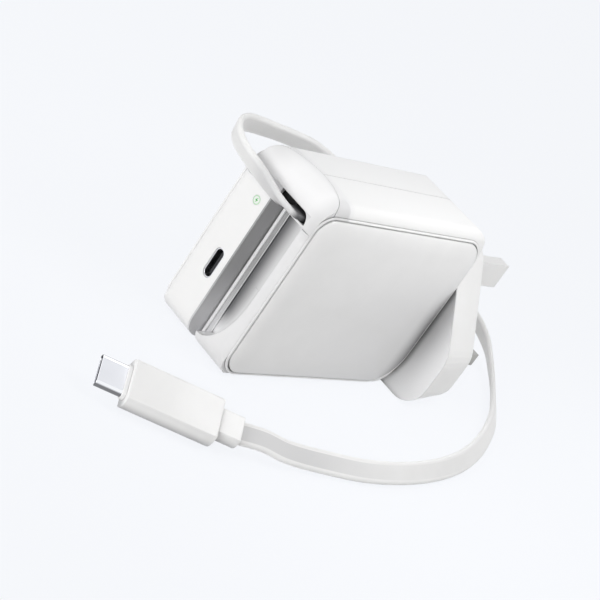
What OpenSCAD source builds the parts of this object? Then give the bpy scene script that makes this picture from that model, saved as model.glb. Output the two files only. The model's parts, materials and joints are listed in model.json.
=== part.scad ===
// Mains adapter for a laptop with a flat USB-C lead on a spring reel.
// Millimetres. x runs across the body, y from the front face back to the mains
// pins, z up. Every piece is drawn with y = 0 on the front face, and place()
// then moves it so that the origin lies under the middle of the adapter.

/* [Body] */
// Width of the body over both side panels
body_w = 32; // [32:0.5:40]
// Height of the body at the crown of its top
body_h = 55; // [54:0.5:60]
// Depth of the body from the front face to the plug base
body_d = 72; // [72:0.5:80]
// Wall of the moulded shells
wall = 2; // [1.6:0.1:2.4]
// Radius of the shallow crown across the top
crown_r = 120; // [80:5:200]
// Radius of the two long edges of the top
edge_r = 2.9; // [2.5:0.1:3.4]
// Radius of the two long edges of the underside
keel_r = 1.5; // [0.5:0.1:2]
// Radius of the nose along the front of the top
nose_r = 9.4; // [8.6:0.2:10]
// How far the nose stands back from the front face
nose_set = 0.5; // [0.2:0.1:0.8]
// Radius of the toe along the front of the underside
toe_r = 6; // [5:0.5:8]
// Radius of the two rear edges
rear_r = 8.5; // [5:0.5:9]
// Radius of the upright front edges
front_r = 4.3; // [3.5:0.1:5]
// Radius of the bowed seam behind the front moulding
seam_r = 20; // [18:0.5:30]
// Gap along the seams between the mouldings
seam = 0.1; // [0.05:0.05:0.2]
// Length of the tongues and laps that key the mouldings together
lap = 1.4; // [1:0.1:2]

/* [Side panels] */
// How far a side panel stands out from the core
panel_t = 2.2; // [1.6:0.1:2.6]
// From the front face to the front edge of a panel
panel_front = 0.7; // [0.6:0.1:1.5]
// From the rear edge of a panel to the plug base
panel_rear = 0.4; // [0.2:0.1:3]
// From the underside to the lower edge of a panel
panel_low = 1.2; // [0.5:0.1:2]
// From the upper edge of a panel to the end of the core's side
panel_high = 0.3; // [0:0.1:1]
// Corner radius of a panel at the toe
panel_toe_r = 6; // [4:0.5:8]
// Corner radius of a panel at the nose
panel_nose_r = 5; // [4:0.5:8]
// Corner radius of a panel at the rear underside
panel_heel_r = 10; // [6:0.5:12]
// Corner radius of a panel at the rear top
panel_back_r = 8; // [6:0.5:12]
// Width of the pillowed edge of a panel
pillow = 6; // [3:0.5:8]

/* [Plug dock] */
// Depth of the dock and radius of its scooped side
dock_depth = 6.4; // [6:0.1:6.8]
// Width of the flat of the dock's floor
dock_flat = 6.2; // [6:0.1:7]
// Height at which the dock starts to close at its foot
dock_foot = 22; // [20:0.5:26]
// Length of the foot, where the scoop draws in to the channel
dock_foot_l = 18; // [14:0.2:18.4]
// Width of the channel that runs out through the toe
channel_w = 3; // [2:0.1:3.4]
// Thickness of the scoop and of the channel's side
scoop_t = 1.5; // [1.2:0.1:1.8]
// Thickness of the liner
liner_t = 1; // [0.8:0.1:1.2]
// Width of the liner's edge in the front face
liner_edge = 0.5; // [0.3:0.1:0.7]
// Height of the bright rib on the liner's floor
rib_h = 0.6; // [0.3:0.1:0.8]

/* [Lead slot] */
// Width of the slot
slot_w = 12.3; // [11.6:0.1:12.8]
// Height of the slot
slot_h = 2.8; // [2.6:0.1:3.4]
// Thickness of the bar between the dock and the slot
slot_bar = 0.6; // [0.6:0.1:1.4]
// Depth of the groove that leads the ribbon to the side
groove_depth = 1.5; // [1:0.1:1.6]
// How far the groove reaches below the slot
groove_drop = 0.7; // [0.4:0.1:0.9]
// Radius of the two guide bars behind the slot
guide_r = 0.8; // [0.6:0.1:1]

/* [Socket and light] */
// Length of the socket's shell
port_w = 8.94; // [8.8:0.02:9]
// Thickness of the socket's shell
port_t = 3.26; // [3.2:0.02:3.4]
// Depth of the socket's shell
port_d = 7.6; // [6.6:0.1:8]
// Sheet of the socket's shell
port_sheet = 0.3; // [0.2:0.05:0.4]
// From the middle of the body to the middle of the socket
port_x = 5.8; // [5.6:0.1:6.2]
// Height of the middle of the socket
port_z = 20.6; // [18:0.2:24]
// From the middle of the body to the status light
light_x = 5.4; // [5.2:0.1:6.4]
// From the top of the body down to the status light
light_z = 13.8; // [13.6:0.2:17]
// Diameter of the status light
light_d = 2.5; // [1.6:0.1:2.6]

/* [Plug base] */
// Width of the plug base
base_w = 51.4; // [50:0.2:54]
// Height of the plug base
base_h = 47.2; // [46:0.2:50]
// Thickness of the plug base
base_d = 16.7; // [16:0.1:20]
// Radius of the lower corners
base_low_r = 8; // [6:0.5:9]
// Radius where the sides turn in toward the top
base_mid_r = 10; // [8:0.5:12]
// Height of that turn
base_mid_z = 16; // [14:0.5:18]
// Radius of the top
base_top_r = 12; // [10:0.5:13]
// How far each side draws in toward the rear
base_taper = 2; // [1:0.1:2.5]
// Radius of the rear edge
base_edge_r = 3; // [2:0.1:3.4]
// Thickness of the base's side wall
base_wall = 8.4; // [8:0.1:8.6]
// Thickness of the base's front wall
base_front = 2; // [1.6:0.1:2.4]
// Thickness of the plate that carries the pins
carrier_t = 4; // [3:0.1:4.6]

/* [Mains pins] */
// Width of a line pin
pin_w = 6.35; // [6.3:0.01:6.4]
// Thickness of a line pin
pin_t = 4; // [3.95:0.01:4.05]
// Length of a line pin
pin_len = 17.7; // [17.2:0.1:18.2]
// Spacing of the line pins
pin_pitch = 22.23; // [22.1:0.01:22.3]
// Height of the line pins
pin_z = 11.5; // [11.2:0.1:12]
// Length of the insulating sleeve on a line pin
sleeve_len = 12.3; // [9:0.1:13]
// Wall of the sleeve
sleeve_t = 0.4; // [0.3:0.05:0.6]
// Width of the earth pin
earth_w = 4; // [3.95:0.01:4.05]
// Height of the earth pin's section
earth_h = 8; // [7.9:0.01:8.05]
// Length of the earth pin
earth_len = 22.7; // [22.2:0.1:23.2]
// Height of the earth pin above the line pins
earth_rise = 22.23; // [22.1:0.01:22.3]
// Chamfer at the tips of the pins
pin_bevel = 1; // [0.5:0.1:1.2]

/* [Electronics] */
// Thickness of the main board
board_t = 1; // [0.8:0.1:1.2]
// From the rear of the body to the rear edge of the main board
board_d = 7; // [7:0.5:9]
// Height of the parts that stand on the board
tall = 6.6; // [5:0.1:6.6]
// Length of the transformer
transformer_d = 20; // [16:0.5:22]
// Height of the transformer's core
transformer_h = 16; // [14:0.5:18]
// Length of the bulk capacitors
bulk_len = 22; // [16:0.5:22]
// Diameter of the noise choke
choke_d = 12; // [10:0.5:12]
// Thickness of the heat spreader
spreader_t = 0.5; // [0.3:0.1:0.6]

/* [Lead reel] */
// From the front face to the reel's axle
reel_y = 38; // [37:0.5:39]
// How far the reel's axle lies above the middle of the body's height
reel_z = 0; // [-1.5:0.5:0.5]
// Radius of the reel
reel_r = 21; // [19.6:0.2:22]
// Radius of the drum
drum_r = 10; // [8:0.5:11]
// Outer radius of the lead that is still wound
wound_r = 13; // [11.6:0.2:15]
// Thickness of the reel's grooved flange
flange_t = 1.3; // [1.2:0.05:1.4]
// Thickness of the reel's outer flange
far_flange_t = 0.8; // [0.6:0.1:1]
// Thickness of the chassis plate
chassis_t = 1; // [0.8:0.1:1.2]
// Radius of the axle
axle_r = 1.5; // [1.2:0.1:2]
// Running clearance of the axle and the lock's pivot
running = 0.05; // [0.04:0.01:0.08]
// Mean radius of the groove that the lock's peg runs in
track_r = 17.5; // [17:0.1:17.8]
// Width of that groove
track_w = 4; // [3.8:0.1:4.2]
// Thickness of the spring's cover
cover_t = 0.5; // [0.4:0.1:0.7]
// Turns of the flat spring
spring_turns = 7; // [4:1:9]

/* [Lead] */
// Width of the flat lead
lead_w = 6; // [5.6:0.1:6.2]
// Thickness of the flat lead
lead_t = 1.6; // [1.4:0.1:1.7]

/* [Lead plug] */
// Width of the plug's grip
grip_w = 12.3; // [11:0.1:12.3]
// Thickness of the plug's grip
grip_t = 6; // [5:0.1:6.4]
// Radius of the bowed sides of the grip
grip_bow = 4.5; // [4:0.1:6]
// Length of the plug's grip
grip_len = 23.7; // [20:0.1:28]
// Length of the collar at the grip's tip
collar_len = 1; // [0.6:0.1:1.6]
// Width of the strain relief
relief_w = 7.9; // [7:0.1:9]
// Thickness of the strain relief
relief_t = 4.8; // [4:0.1:5]
// Length of the strain relief
relief_len = 6.3; // [5:0.1:8]
// Width of the plug's metal shell
shell_w = 8.25; // [8.2:0.01:8.3]
// Thickness of the plug's metal shell
shell_t = 2.4; // [2.35:0.01:2.45]
// Length of the plug's metal shell
shell_len = 6.65; // [6.2:0.05:6.7]

/* [Hidden] */
$fn = 48;

hair = 0.05;                                  // gap of pieces that are pushed together
past = 1;                                     // how far a cut runs past a face
overall_d = body_d + base_d + earth_len;
core_half = body_w / 2 - panel_t;
inner_half = core_half - wall;
crown_z = body_h - crown_r;                    // middle of the crown's circle
edge_x = core_half - edge_r;                  // middle of the top edge's rounding
side_top = crown_z + sqrt(pow(crown_r - edge_r, 2) - pow(edge_x, 2));

// front moulding
seam_y = nose_set + nose_r;
slot_z = body_h - nose_r;
lip_z = slot_z + slot_h;
dock_top = slot_z - slot_bar;
groove_z = slot_z - groove_drop;

// the board stands just behind the socket, and the reel stands beside the board
board_x = -port_x + port_t / 2;               // face with the parts
board_face = board_x + board_t;               // plain face
board_z = wall + 0.1;
board_top = body_h - wall - 1.6;
board_front = wall + 0.4;
board_end = body_d - board_d;
board_cut = 2;                                // cut across the board's lower corners
dock_x = board_face + 0.5 + liner_t;          // left side of the dock
scoop_x = dock_x + dock_flat;                 // middle of the scooped side
channel_x = dock_x + channel_w;
slot_x = dock_x - 0.1;
lamp_z = body_h - light_z;

standoff = 1.17;
chassis_half = 18;
chassis_rim = 3.2;                            // from the lock's pivot to the edges of the chassis
chassis_x = board_face + standoff;
chassis_face = chassis_x + chassis_t;
lock_room = 1;                                // room for the lock between chassis and reel
reel_x = chassis_face + lock_room;
ribbon_gap = 0.3;                             // beside the ribbon, between the flanges
drum_x = reel_x + flange_t;
drum_end = drum_x + lead_w + 2 * ribbon_gap;
spring_x = drum_end + far_flange_t;
cover_x = inner_half - 0.3 - cover_t;
ribbon_x = drum_x + ribbon_gap;
track_depth = 0.8;
track_in = track_r - track_w / 2;
ring_t = 0.25;
ring_w = 1.2;
ring_near = axle_r + 2.3;                      // mean radius of the inner slip ring
ring_far = ring_near + ring_w + 1;
spring_rim = 17.2;                            // inner radius of the spring's housing
axle_z = body_h / 2 + reel_z;

// lock: a peg on a short arm that follows the groove in the reel
lock_t = 0.7;
lock_gap = (lock_room - lock_t) / 2;
lock_turn = 45;                               // bearing of the pivot from the axle
peg_turn = 75;                                // bearing of the peg from the axle
pivot_far = 24.5;
pivot_y = reel_y + pivot_far * cos(lock_turn);
pivot_z = axle_z + pivot_far * sin(lock_turn);
peg_y = reel_y + track_r * cos(peg_turn);
peg_z = axle_z + track_r * sin(peg_turn);
peg_r = 0.8;
pivot_r = 1;
arm_half = 1;                                 // half width of the lock's arm

// mains side
contact_t = 0.4;
contact_w = 4;
contact_x = 9;
contact_lap = 3;                              // how far a contact reaches along the board
root_half = 2.4;                              // half width of a contact at its pin
post_rim = 0.8;                               // wall of a post round its pin
pin_root = body_d + base_front + 5.2;         // inner end of the line pins
rear_wall_y = body_d - wall;
window_half = 10.4;
window_low = pin_z - 3;
window_h = 6;
screw_x = 8;
screw_z = 24;
screw_r = 1.25;
screw_head_r = 2.2;
screw_len = 10;
post_r = 1.8;
post_y = body_d - wall - post_r - 0.8;
post_z = [board_z + 4.2, board_top - 5.4];    // snap posts that hold the two shells together

// the ribbon runs from the middle of the guide to the right-hand part of the slot
feed_x = ribbon_x + lead_w / 2 + 2;
feed_y = 2.4;
feed_z = slot_z + 1;
guide_y = seam_y + 1.9;

// route of the free lead from the slot to the plug: x, y, z and the roll of its flat
plug_at = [41.6, -17.3, 5.3];
plug_turn = -123.3;
plug_lean = 58;
route = [
  [feed_x, feed_y, feed_z, -90], [6.6, 1.3, 46.6, -89], [6.2, -0.2, 46.6, -84], [5, -1.6, 46.9, -72],
  [2.8, -2.7, 47.2, -56], [-0.6, -2.9, 47.5, -42], [-4.6, -2.6, 47.8, -34], [-8.6, -2.3, 48.1, -31],
  [-13, -1.9, 48.3, -31], [-17.5, -1.6, 48.9, -28], [-21.2, -0.8, 49.7, -18], [-24.4, 1.4, 50.4, -6],
  [-26.4, 4.8, 50.8, 6], [-27, 9, 50.7, 16], [-26.8, 15, 50.3, 24], [-26, 23, 49.8, 28],
  [-25.2, 32, 48.6, 30], [-24.6, 43, 45.2, 30], [-24.2, 55, 40.4, 30], [-23.6, 67, 35.2, 32],
  [-22.8, 79, 29.8, 34], [-21.4, 91, 25, 37], [-19, 103, 20.8, 40], [-15.4, 114, 17.2, 44],
  [-11.6, 122, 14.6, 46], [-7.6, 127.6, 12, 45], [-3.4, 130.6, 9.3, 41], [1.4, 131.2, 6.8, 37],
  [6.8, 129, 4.6, 35], [11.9, 125.6, 3.3, 35], [18.1, 119.5, 3, 36], [24.5, 112.6, 2.9, 38],
  [31.5, 104.1, 2.9, 40], [38.4, 93.2, 2.8, 42], [44.4, 81.2, 2.8, 44], [49, 68.3, 2.8, 46],
  [51.9, 54.4, 2.8, 48], [53, 39.4, 2.8, 50], [52.1, 24.3, 2.8, 50], [49.2, 10.4, 3, 50],
  [46.6, -2, 3.8, 53], [43.7, -9.6, 4.9, 56],
  [plug_at.x, plug_at.y, plug_at.z, plug_lean]];

// ---------------------------------------------------------------- helpers

module place() translate([0, -overall_d / 2, 0]) children();

// a flat outline (y, z) carried across the body from x0 to x1
module across(x0, x1) translate([x0, 0, 0]) rotate([90, 0, 90]) linear_extrude(x1 - x0) children();

// a flat outline (x, z) carried back from y0 to y1
module back(y0, y1) translate([0, y1, 0]) rotate([90, 0, 0]) linear_extrude(y1 - y0) children();

module box(low, high) translate(low) cube(high - low);

// round bar across the body
module bar(x0, x1, y, z, r) translate([x0, y, z]) rotate([0, 90, 0]) cylinder(h = x1 - x0, r = r);

// round bar along the body
module rod(y0, y1, x, z, r) translate([x, y0, z]) rotate([-90, 0, 0]) cylinder(h = y1 - y0, r = r);

function corner(p, r, before, after) = r > 0 ? [p + r * before, p + r * after] : [p];

// rectangle with its own radius at each corner, named round from low, low
module rounded(low, high, r) {
  right = [1, 0];
  up = [0, 1];
  polygon(concat(corner(low, r[0], up, right),
                 corner([high.x, low.y], r[1], -right, up),
                 corner(high, r[2], -up, -right),
                 corner([low.x, high.y], r[3], right, -up)));
  at = [low + r[0] * [1, 1], [high.x, low.y] + r[1] * [-1, 1],
        high + r[2] * [-1, -1], [low.x, high.y] + r[3] * [1, -1]];
  for (i = [0:3]) if (r[i] > 0) translate(at[i]) circle(r[i]);
}

// two half rounds joined by straights, long side along the second axis
module stadium(width, length) {
  square([width, length - width], center = true);
  for (s = [-1, 1]) translate([0, s * (length - width) / 2]) circle(width / 2);
}

function less(r, inset) = max(r - inset, 0);

// ---------------------------------------------------------------- body form

module side_outline(inset) {
  rounded([nose_set + inset, inset], [body_d - inset, body_h - inset],
          [less(toe_r, inset), less(rear_r, inset), less(rear_r, inset), less(nose_r, inset)]);
  rounded([inset, inset], [body_d / 2, groove_z - inset], [less(toe_r, inset), 0, 0, 0]);
}

module end_outline(inset) {
  half = core_half - inset;
  keel = less(keel_r, inset);
  touch = edge_x * (crown_r - inset) / (crown_r - edge_r);
  rounded([-half, inset], [half, side_top], [keel, keel, 0, 0]);
  for (s = [-1, 1]) translate([s * edge_x, side_top]) circle(edge_r - inset);
  intersection() {
    translate([-touch, side_top - past]) square([2 * touch, body_h]);
    translate([0, crown_z]) circle(crown_r - inset, $fn = 360);
  }
}

module plan_outline(inset) {
  half = body_w / 2 - inset;
  rounded([-half, inset], [half, body_d + past], [less(front_r, inset), less(front_r, inset), 0, 0]);
}

// the body without its side panels, drawn in by inset
module core(inset) intersection() {
  across(-core_half - past, core_half + past) side_outline(inset);
  back(-past, body_d + past) end_outline(inset);
  translate([0, 0, -past]) linear_extrude(body_h + 2 * past) plan_outline(inset);
}

// what lies in front of the bowed seam
module front_zone(grow) translate([0, seam_y - seam_r, -past])
  cylinder(h = body_h + 2 * past, r = seam_r + grow, $fn = 120);

// tongues of the front moulding, above and below, that key into the shells
module tongues(grow) {
  half = 7.5 + grow;
  reach = seam_y + lap + grow;
  low = slot_z + 2 - grow;
  box([-half, seam_y - past, low], [half, reach, body_h]);
  box([-half, seam_y - past, 0], [half, reach, wall + grow]);
}

// room for the plug, with its scooped side and the foot below it
module dock_room(grow) {
  r = dock_depth + grow;
  translate([0, 0, dock_foot]) linear_extrude(dock_top - dock_foot) {
    translate([scoop_x, 0]) circle(r);
    translate([dock_x, -past]) square([dock_flat, r + past]);
  }
  dock_foot_room(r, dock_foot_l + grow);
}

// the scoop draws in to the channel's edge along an ellipse, at its full depth
module dock_foot_room(r, deep) {
  slice = 0.01;
  hull() for (a = [0:15:90]) {
    reach = scoop_x - channel_x + r * cos(a);
    back(a > 0 ? r * sin(a) - slice : -past, r * sin(a) + slice)
      polygon(concat([[channel_x, dock_foot]],
                     [for (b = [0:7.5:90]) [channel_x + reach * cos(b), dock_foot - deep * sin(b)]]));
  }
}

module channel_room() box([dock_x, -past, -past], [channel_x, dock_depth, dock_foot + past]);

// seat of the grey liner in the front moulding
module liner_seat(front, foot) {
  floor_y = dock_depth + 1.2;
  box([dock_x - liner_edge, front, foot], [dock_x, wall, dock_top]);
  box([dock_x - liner_t, wall, foot], [dock_x, floor_y, dock_top]);
  box([dock_x - liner_t, dock_depth, foot], [channel_x, floor_y, dock_top]);
}

// slot whose upper right corner is a full round
module slot_room() {
  end_x = slot_x + slot_w - slot_h;
  box([slot_x, -past, slot_z], [end_x, seam_y + past, lip_z]);
  intersection() {
    rod(-past, seam_y + past, end_x, slot_z, slot_h);
    box([end_x - past, -past, slot_z], [end_x + slot_h, seam_y + past, lip_z]);
  }
  box([-core_half - past, -past, groove_z], [slot_x + past, groove_depth, lip_z]);
}

module port_outline(inset) stadium(port_t - 2 * inset, port_w - 2 * inset);

// ---------------------------------------------------------------- housing

module front_frame() color("white") place() difference() {
  union() {
    difference() {
      intersection() { core(0); front_zone(0); }
      core(wall);
    }
    intersection() {
      core(0);
      union() {
        intersection() {
          dock_room(scoop_t);
          box([channel_x, -past, 0], [core_half, body_d, dock_top]);
        }
        box([channel_x, 0, 0], [channel_x + scoop_t, dock_depth + scoop_t, dock_foot]);
        intersection() {
          front_zone(0);
          box([dock_x - liner_t, 0, dock_top], [scoop_x + dock_depth + scoop_t, seam_y, slot_z]);
        }
      }
    }
    intersection() {
      difference() { core(wall / 2 + hair); core(wall); }
      tongues(0);
    }
  }
  dock_room(0);
  channel_room();
  liner_seat(-past, -past);
  slot_room();
  translate([-port_x, 0, port_z]) back(-past, wall + past) port_outline(-hair);
  rod(-past, wall + past, -light_x, lamp_z, light_d / 2 + hair);
}

module dock_liner() color("gray") place() intersection() {
  core(0);
  union() {
    liner_seat(0, 0);
    box([dock_x + 0.4, dock_depth - rib_h, 0], [dock_x + 1.2, dock_depth + hair, dock_top]);
    box([channel_x - 0.35, dock_depth - rib_h / 2, 0], [channel_x, dock_depth + hair, dock_top]);
  }
}

module slot_guide() color("lightgray") place() {
  cheek_t = 0.7;
  x0 = ribbon_x - 2 * ribbon_gap - cheek_t;
  x1 = ribbon_x + lead_w + 2 * ribbon_gap;
  off = lead_t / 2 + ribbon_gap + guide_r;
  for (x = [x0, x1]) box([x, seam_y, slot_z - 2.4], [x + cheek_t, guide_y + 2, feed_z + off + guide_r + 0.5]);
  box([x0, seam_y, slot_z - 2.4], [x1 + cheek_t, seam_y + 0.8, slot_z - 0.3]);
  for (s = [-1, 1]) bar(x0 + cheek_t / 2, x1 + cheek_t / 2, guide_y, feed_z + s * off, guide_r);
}

// rear opening for the mains contacts, and the holes of the base's screws
module rear_cuts() {
  box([-window_half, rear_wall_y - past, window_low],
      [window_half, body_d + past, window_low + window_h]);
  for (s = [-1, 1]) rod(rear_wall_y - past, body_d + past, s * screw_x, screw_z, screw_r + hair);
}

module lap_room(grow) box([-past, seam_y + lap + 3 * seam - grow, -past],
                          [lap + grow, body_d + past, body_h + past]);

// skin of one half of the rear housing, from x0 to x1
module half_shell(x0, x1) intersection() {
  difference() { core(0); core(wall); front_zone(seam); }
  box([x0, -past, -past], [x1, body_d + past, body_h + past]);
}

module left_shell() color("white") place() difference() {
  union() {
    half_shell(-core_half, -seam / 2);
    intersection() {
      difference() { core(wall / 2 + hair); core(wall); }
      lap_room(0);
    }
    board_rails();
    for (z = post_z)
      bar(-core_half + wall / 2, -seam / 2, post_y, z, post_r);
  }
  intersection() { core(wall / 2); tongues(hair); }
  rear_cuts();
  for (z = post_z)
    bar(-3, past, post_y, z, post_r / 2 + hair);
}

// pairs of ribs on the floor and the ceiling that hold the board's edges
module board_rails() intersection() {
  core(wall / 2);
  for (x = [board_x - hair - 0.75, board_face + hair]) {
    box([x, 20, wall / 2], [x + 0.75, 34, board_z + 1.5]);
    box([x, 40, wall / 2], [x + 0.75, 52, board_z + 1.5]);
    box([x, 20, board_top - 1.2], [x + 0.75, 34, body_h]);
    box([x, 44, board_top - 1.2], [x + 0.75, 56, body_h]);
  }
}

module right_shell() color("white") place() difference() {
  union() {
    difference() {
      half_shell(seam / 2, core_half);
      intersection() { core(wall / 2); lap_room(hair); }
    }
    for (z = post_z) {
      bar(seam / 2, core_half - wall / 2, post_y, z, post_r);
      bar(-2.8, seam, post_y, z, post_r / 2);
    }
    bar(cover_x + cover_t + 0.15, core_half - wall / 2, reel_y, axle_z, axle_r + 2);
  }
  intersection() { core(wall / 2); tongues(hair); }
  rear_cuts();
  bar(cover_x, inner_half + 0.9, reel_y, axle_z, axle_r + hair / 2);
}

// pillow: outlines of the panel stacked outward, each drawn in a little more
module side_panel(side) {
  rise = [[0, 0], [0.23, 0.025], [0.45, 0.1], [0.73, 0.3], [0.93, 0.6], [1, 1]];
  slice = 0.01;
  hull() for (s = rise) {
    x = core_half + s[0] * panel_t - (s[0] > 0 ? slice : 0);
    in = s[1] * pillow;
    across(side > 0 ? x : -x - slice, side > 0 ? x + slice : -x)
      panel_outline(in, $fn = 32);
  }
}

module panel_outline(in) rounded(
  [panel_front + in, panel_low + in], [body_d - panel_rear - in, side_top - panel_high - in],
  [for (r = [panel_toe_r, panel_heel_r, panel_back_r, panel_nose_r]) max(r - in / 2, 1)]);

module left_side_panel() color("whitesmoke") place() side_panel(-1);

module right_side_panel() color("whitesmoke") place() side_panel(1);

// ---------------------------------------------------------------- plug base

// a round of radius r in the outline, drawn in by inset
module base_round(x, z, r, inset) {
  left = max(r - inset, 1.5);
  shift = r - inset - left;
  for (s = [-1, 1]) translate([s * (x + shift), z - shift]) circle(left);
}

module base_outline(inset) hull() {
  base_round(base_w / 2 - base_low_r, base_low_r, base_low_r, inset, $fn = 32);
  base_round(base_w / 2 - base_mid_r, base_mid_z, base_mid_r, inset, $fn = 32);
  top = max(base_top_r - inset, 1.5);
  translate([0, base_h - inset - top]) circle(top, $fn = 48);
}

module plug_base() color("white") place() {
  rear = body_d + base_d;
  ledge = rear - carrier_t;
  difference() {
    hull() {
      back(body_d, body_d + 0.01) base_outline(0);
      for (a = [0:30:90])
        back(rear - base_edge_r * (1 - sin(a)) - 0.01, rear - base_edge_r * (1 - sin(a)))
          base_outline(base_taper + base_edge_r * (1 - cos(a)));
    }
    back(body_d + base_front, ledge + past) base_outline(base_wall);
    back(ledge, rear + past) base_outline(base_wall - 1.4);
    box([-window_half, body_d - past, window_low],
        [window_half, body_d + base_front + past, window_low + window_h]);
    for (s = [-1, 1]) rod(body_d - past, body_d + base_front + past, s * screw_x, screw_z, screw_r + hair);
  }
  for (s = [-1, 1]) difference() {
    rod(body_d + base_front - hair, body_d + 9, s * screw_x, screw_z, 3);
    rod(body_d, body_d + 10, s * screw_x, screw_z, screw_r + hair);
  }
}

// moulded plate behind the base that holds the three pins
module pin_carrier() color("white") place() {
  rear = body_d + base_d;
  ledge = rear - carrier_t;
  grip = pin_root + 1.3;
  difference() {
    union() {
      back(ledge, rear) base_outline(base_wall - 1.4 + hair);
      intersection() {
        back(grip, rear) base_outline(base_wall + hair);
        union() {
          for (s = [-1, 1]) translate([s * pin_pitch / 2, 0, pin_z])
            box([-pin_w / 2 - post_rim, grip, -pin_t / 2 - post_rim],
                [pin_w / 2 + post_rim, rear, pin_t / 2 + post_rim]);
          translate([0, 0, earth_z])
            box([-earth_w / 2 - post_rim, grip, -earth_h / 2 - post_rim],
                [earth_w / 2 + post_rim, rear, earth_h / 2 + post_rim]);
        }
      }
    }
    for (s = [-1, 1]) translate([s * pin_pitch / 2, 0, pin_z]) neck(grip - past, rear + past);
    box([-earth_w / 2, grip - past, earth_z - earth_h / 2], [earth_w / 2, rear + past, earth_z + earth_h / 2]);
  }
}

earth_z = pin_z + earth_rise;

// section of a line pin inside its sleeve
module neck(y0, y1) {
  w = pin_w - 2 * sleeve_t;
  t = pin_t - 2 * sleeve_t;
  box([-w / 2, y0, -t / 2], [w / 2, y1, t / 2]);
}

// bar of section w by t whose rear end is bevelled on all four sides
module bevelled(w, t, y0, y1) {
  b = pin_bevel;
  intersection() {
    across(-w, w) polygon([[y0, -t / 2], [y1 - b, -t / 2], [y1, b / 2 - t / 2], [y1, t / 2 - b / 2],
                           [y1 - b, t / 2], [y0, t / 2]]);
    translate([0, 0, -t]) linear_extrude(2 * t)
      polygon([[-w / 2, y0], [w / 2, y0], [w / 2, y1 - b], [w / 2 - b / 2, y1],
               [b / 2 - w / 2, y1], [-w / 2, y1 - b]]);
  }
}

module line_pin(side) translate([side * pin_pitch / 2, 0, pin_z]) {
  rear = body_d + base_d;
  neck(pin_root, rear + sleeve_len);
  bevelled(pin_w, pin_t, rear + sleeve_len - hair, rear + pin_len);
}

module live_pin() color("goldenrod") place() line_pin(-1);

module neutral_pin() color("goldenrod") place() line_pin(1);

module sleeve(side) translate([side * pin_pitch / 2, 0, pin_z]) {
  rear = body_d + base_d;
  difference() {
    box([-pin_w / 2, rear, -pin_t / 2], [pin_w / 2, rear + sleeve_len - hair, pin_t / 2]);
    neck(rear - past, rear + sleeve_len + past);
  }
}

module live_sleeve() color("white") place() sleeve(-1);

module neutral_sleeve() color("white") place() sleeve(1);

module earth_pin() color("white") place() translate([0, 0, earth_z])
  bevelled(earth_w, earth_h, pin_root + 1.3, body_d + base_d + earth_len);

module base_screws() color("silver") place() for (s = [-1, 1]) {
  rod(rear_wall_y - 1.5, rear_wall_y, s * screw_x, screw_z, screw_head_r);
  rod(rear_wall_y - hair, rear_wall_y + screw_len, s * screw_x, screw_z, screw_r);
}

// strip from the root of a line pin through the window to the board
module contact_plate(x0, x1, y0, y1) {
  box([min(x0, x1), y0, pin_z - contact_w / 2], [max(x0, x1), y1, pin_z + contact_w / 2]);
}

module live_contact() color("peru") place() {
  out = -contact_x - contact_t / 2;
  contact_plate(-pin_pitch / 2 - root_half, out + contact_t, pin_root - contact_t, pin_root);
  contact_plate(out, out + contact_t, board_end - contact_lap, pin_root);
  contact_plate(out, board_x, board_end - contact_lap, board_end - contact_lap + contact_t);
}

module neutral_contact() color("peru") place() {
  out = contact_x + contact_t / 2;
  turn = board_end + 2;
  contact_plate(out - contact_t, pin_pitch / 2 + root_half, pin_root - contact_t, pin_root);
  contact_plate(out - contact_t, out, turn, pin_root);
  contact_plate(board_face, out, turn, turn + contact_t);
  contact_plate(board_face, board_face + contact_t, board_end - contact_lap, turn + contact_t);
}

// ---------------------------------------------------------------- electronics

module main_board() color("seagreen") place() across(board_x, board_face) polygon([
  [toe_r, board_z], [board_end - board_cut, board_z], [board_end, board_z + board_cut],
  [board_end, board_top], [seam_y + 0.6, board_top], [board_front, groove_z - wall - 0.5],
  [board_front, toe_r - 1]]);

module port_shell() color("silver") place() translate([-port_x, 0, port_z]) difference() {
  back(0.2, 0.2 + port_d) port_outline(0);
  back(-past, 0.2 + port_d - port_sheet) port_outline(port_sheet);
}

module port_tongue() color("black") place() translate([-port_x, 0, port_z]) {
  rear = 0.2 + port_d - port_sheet;
  box([-0.35, 1.2, -3.35], [0.35, rear, 3.35]);
  back(rear - 1.6, rear) port_outline(port_sheet);
}

module light_pipe() color("lightgreen") place() {
  rod(0, wall, -light_x, lamp_z, light_d / 2);
  rod(wall, board_front - hair, -light_x, lamp_z, light_d / 2 + 0.5);
}

module status_led() color("yellowgreen") place()
  box([-light_x - 0.8, board_front + 0.4, lamp_z - 1], [board_x, board_front + 2, lamp_z + 1]);

// rows of parts on the board, set out from its rear edge toward the front
film_d = 5.6;                                 // length of the safety capacitor
film_y = board_end - 1 - film_d;
bulk_pitch = tall + 1.4;
bulk_y = [film_y - 1.1 - tall / 2 - bulk_pitch, film_y - 1.1 - tall / 2];
transformer_y = bulk_y[0] - tall / 2 - 1.2 - transformer_d / 2;
fuse_l = 10;
fuse_y = bulk_y[1] - fuse_l;
choke_y = film_y - choke_d / 2 - 0.4;
choke_z = board_top - choke_d / 2 - 1.4;
choke_t = 5;
output_r = 3.15;
output_y = seam_y + 0.7;

// heights on the board, set out from its upper edge
fuse_r = 1.8;
can_lead = 0.8;
bulk_low = choke_z - choke_d / 2 - 1 - bulk_len;
fuse_z = bulk_low - can_lead - 1.2 - fuse_r;
film_low = 18;
film_h = 13;
spreader_top = board_top - 4.9;
chip = 5;                                     // side of a power chip
chip_t = 1;
chip_low = 19;
chip_high = spreader_top - 3 - chip;
transformer_z = chip_high - 3.5 - transformer_h / 2;
output_z = [for (k = [0, 1]) board_top - 10.8 - k * 7.6];

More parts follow.
